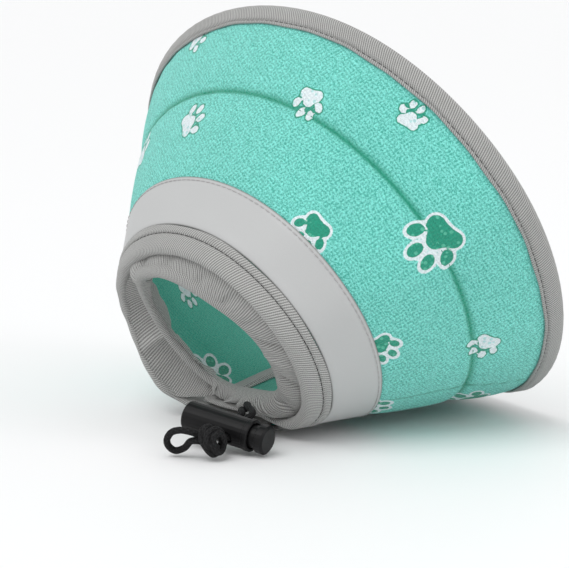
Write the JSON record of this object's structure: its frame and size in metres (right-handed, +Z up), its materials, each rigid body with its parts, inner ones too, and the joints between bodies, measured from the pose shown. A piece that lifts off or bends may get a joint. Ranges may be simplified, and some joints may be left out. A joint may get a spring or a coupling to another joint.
{
  "type": "soft recovery cone",
  "caption": "Padded fabric recovery cone for a small pet, wrapped and closed below, with a reflective band and a drawcord neck with a sprung cord lock.",
  "frame": {"origin": "bottom centre of the cone's bounding box, on the surface it lies on", "axes": "+X across the cone's widest side, +Y from the neck towards the rim, +Z up"},
  "size_m": [0.2198, 0.1704, 0.1716],
  "materials": {
    "padded_mesh": "matte air mesh, mint green",
    "ribbed_knit": "matte ribbed knit, mid grey",
    "casing_knit": "matte ribbed knit, mid grey",
    "reflective_tape": "smooth silver-grey reflective tape",
    "fastening_tape": "matte hook and loop",
    "elastic_cord": "black braided elastic",
    "lock_plastic": "black moulded plastic, satin"
  },
  "bodies": {
    "cone": {"cone_panel": "padded_mesh", "rim_binding": "ribbed_knit", "neck_binding": "ribbed_knit", "drawstring_casing": "casing_knit", "reflective_band": "reflective_tape", "closure_strip": "fastening_tape", "drawcord_ring": "elastic_cord", "cord_strand_a": "elastic_cord", "cord_strand_b": "elastic_cord", "cord_loop": "elastic_cord", "cord_knot": "elastic_cord", "lock_barrel": "lock_plastic"},
    "button": {"lock_button": "lock_plastic"}
  },
  "joints": [
    {"name": "button_press", "type": "slide", "parent": "cone", "child": "button", "axis": [-0.9512, -0.2713, 0.1473], "range_m": [0, 0.0027], "stiffness_N_per_m": 600, "springref_m": -0.004}
  ]
}
